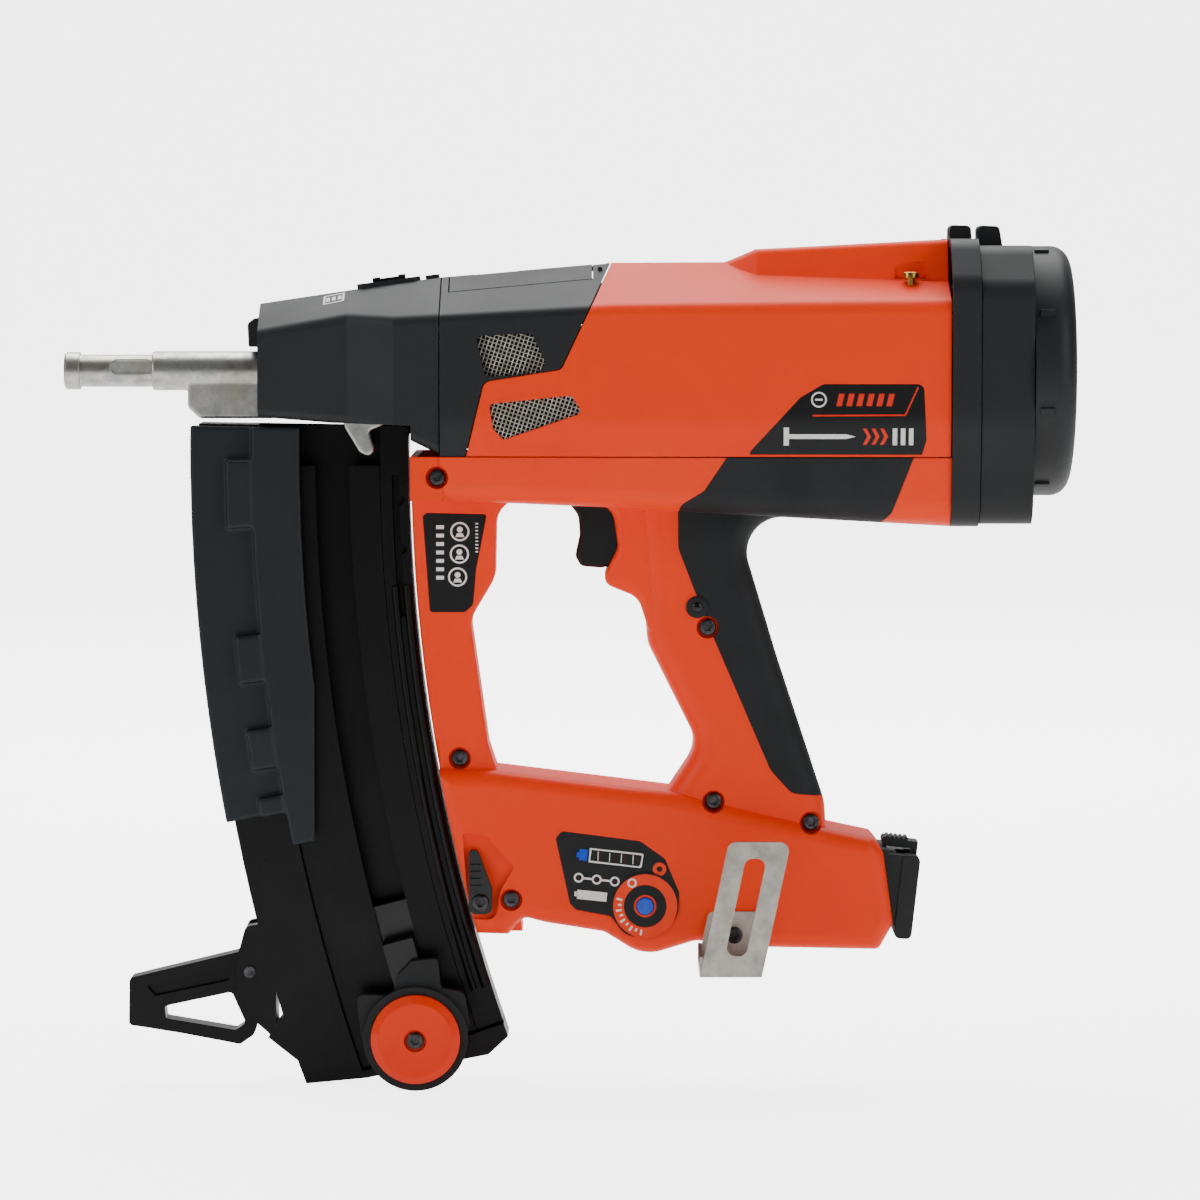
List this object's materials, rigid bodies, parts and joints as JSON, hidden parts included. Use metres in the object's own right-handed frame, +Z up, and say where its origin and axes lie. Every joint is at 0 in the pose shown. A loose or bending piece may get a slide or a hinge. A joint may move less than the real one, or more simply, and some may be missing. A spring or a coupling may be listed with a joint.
{
  "type": "gas-actuated track nailer",
  "caption": "Hand-held gas nailer with a sliding nose probe, curved side magazine with pusher knob, pistol grip, foot with battery, belt hook and rear filter cap.",
  "frame": {"origin": "centre of the muzzle's front face, on the drive axis", "axes": "+X back along the drive axis, +Y to the tool's right, +Z up"},
  "size_m": [0.4296, 0.123, 0.3686],
  "materials": {
    "orange_shell": "moulded satin",
    "dark_shell": "moulded fine texture",
    "shield_black": "moulded satin",
    "magazine_black": "moulded semi-gloss",
    "grip_rubber": "matt overmould",
    "bumper_rubber": "matt",
    "gloss_black": "gloss",
    "zinc_steel": "zinc plated, passivated",
    "machined_steel": "machined",
    "woven_stainless": "woven wire",
    "brushed_stainless": "brushed",
    "black_oxide": "black oxide",
    "brass": "plain",
    "cast_aluminium": "cast",
    "label_film": "printed film",
    "blue_button": "gloss",
    "orange_knob": "moulded satin",
    "circuit_board": "solder mask",
    "filter_foam": "open foam",
    "cell_wrap": "shrink sleeve"
  },
  "bodies": {
    "frame": {"frame_left": "orange_shell", "frame_right": "orange_shell", "hood": "orange_shell", "grip_overmould": "grip_rubber", "mid_shroud": "dark_shell", "lid_latch": "dark_shell", "hood_screws": "brass", "side_badges": "label_film", "upper_meshes": "woven_stainless", "lower_meshes": "woven_stainless", "nose_shroud": "dark_shell", "rear_collar": "dark_shell", "rear_housing": "dark_shell", "nose_guide": "zinc_steel", "nose_bolts": "black_oxide", "probe_springs": "machined_steel", "cylinder": "cast_aluminium", "bumper": "bumper_rubber", "cylinder_head": "cast_aluminium", "spark_plug": "machined_steel", "fan_motor": "machined_steel", "air_filter": "filter_foam", "fuel_cell": "cast_aluminium", "control_board": "circuit_board", "ignition_module": "gloss_black", "trigger_switch": "gloss_black", "trigger_spring": "machined_steel", "energy_panel": "label_film", "frame_screws": "black_oxide", "strut_label": "label_film", "belt_hook": "brushed_stainless", "battery_contacts": "brass"},
    "fuel_lid": {"fuel_lid": "dark_shell"},
    "power_slider": {"power_slider": "gloss_black"},
    "rear_cap": {"rear_cap": "dark_shell"},
    "probe": {"probe_tip": "zinc_steel", "probe_link": "machined_steel", "chamber_sleeve": "cast_aluminium"},
    "piston": {"piston": "machined_steel", "piston_rings": "machined_steel", "driver_blade": "machined_steel"},
    "fan": {"fan": "dark_shell"},
    "trigger": {"trigger": "gloss_black"},
    "energy_button": {"energy_button": "blue_button"},
    "lock_lever": {"lock_lever": "gloss_black"},
    "battery": {"battery_case": "dark_shell", "battery_cells": "cell_wrap"},
    "battery_latch": {"battery_latch": "dark_shell"},
    "magazine": {"magazine_body": "magazine_black", "magazine_rail": "magazine_black", "track_plates": "magazine_black", "magazine_shield": "shield_black", "spring_strip": "brass", "leg_pin": "black_oxide"},
    "pusher": {"pusher_block": "gloss_black", "pusher_handle": "dark_shell", "knob_cap": "orange_knob", "knob_screw": "black_oxide"},
    "spring_drum": {"spring_drum": "machined_steel"},
    "support_leg": {"support_leg": "magazine_black"}
  },
  "joints": [
    {"name": "fuel_lid_hinge", "type": "hinge", "parent": "frame", "child": "fuel_lid", "pos_m": [0.2292, 0, 0.0436], "axis": [0, 1, 0], "range_deg": [0, 80]},
    {"name": "power_slide", "type": "slide", "parent": "frame", "child": "power_slider", "axis": [0.9912, 0, 0.1323], "range_m": [-0.0036, 0.0036]},
    {"name": "cap_twist", "type": "hinge", "parent": "frame", "child": "rear_cap", "pos_m": [0.42, 0, 0], "axis": [1, 0, 0], "range_deg": [0, 30]},
    {"name": "probe_slide", "type": "slide", "parent": "frame", "child": "probe", "axis": [1, 0, 0], "range_m": [0, 0.026], "stiffness_N_per_m": 500, "springref_m": -0.02, "deforming": ["probe_springs"]},
    {"name": "piston_stroke", "type": "slide", "parent": "frame", "child": "piston", "axis": [-1, 0, 0], "range_m": [0, 0.118]},
    {"name": "fan_spin", "type": "hinge", "parent": "frame", "child": "fan", "pos_m": [0.36, 0, 0], "axis": [1, 0, 0], "continuous": true},
    {"name": "trigger_pull", "type": "slide", "parent": "frame", "child": "trigger", "axis": [1, 0, 0], "range_m": [0, 0.007], "stiffness_N_per_m": 700, "springref_m": -0.004, "deforming": ["trigger_spring"]},
    {"name": "energy_press", "type": "slide", "parent": "frame", "child": "energy_button", "axis": [0, 1, 0], "range_m": [0, 0.0015], "stiffness_N_per_m": 900, "springref_m": -0.0008},
    {"name": "lock_lever_turn", "type": "hinge", "parent": "frame", "child": "lock_lever", "pos_m": [0.1782, 0, -0.2261], "axis": [0, 1, 0], "range_deg": [0, 20]},
    {"name": "battery_slide", "type": "slide", "parent": "frame", "child": "battery", "axis": [0.9936, 0, -0.1132], "range_m": [0, 0.11]},
    {"name": "battery_latch_press", "type": "hinge", "parent": "battery", "child": "battery_latch", "pos_m": [0.35263, 0, -0.20179], "axis": [0, 1, 0], "range_deg": [0, 6], "stiffness_Nm_per_rad": 0.05, "springref_deg": -5.73},
    {"name": "magazine_release", "type": "hinge", "parent": "frame", "child": "magazine", "pos_m": [0.9, 0, -0.0361], "axis": [0, -1, 0], "range_deg": [0, 3.4]},
    {"name": "pusher_travel", "type": "hinge", "parent": "magazine", "child": "pusher", "pos_m": [0.9, 0, -0.0361], "axis": [0, 1, 0], "range_deg": [0, 13.8]},
    {"name": "drum_spin", "type": "hinge", "parent": "pusher", "child": "spring_drum", "pos_m": [0.15532, 0, -0.24823], "axis": [0, 1, 0], "range_deg": [0, 1321]},
    {"name": "leg_fold", "type": "hinge", "parent": "magazine", "child": "support_leg", "pos_m": [0.0787, 0, -0.2576], "axis": [0, 1, 0], "range_deg": [0, 80]}
  ],
  "couplings": [
    {"joint": "drum_spin", "follows": "pusher_travel", "ratio": 95.74}
  ]
}
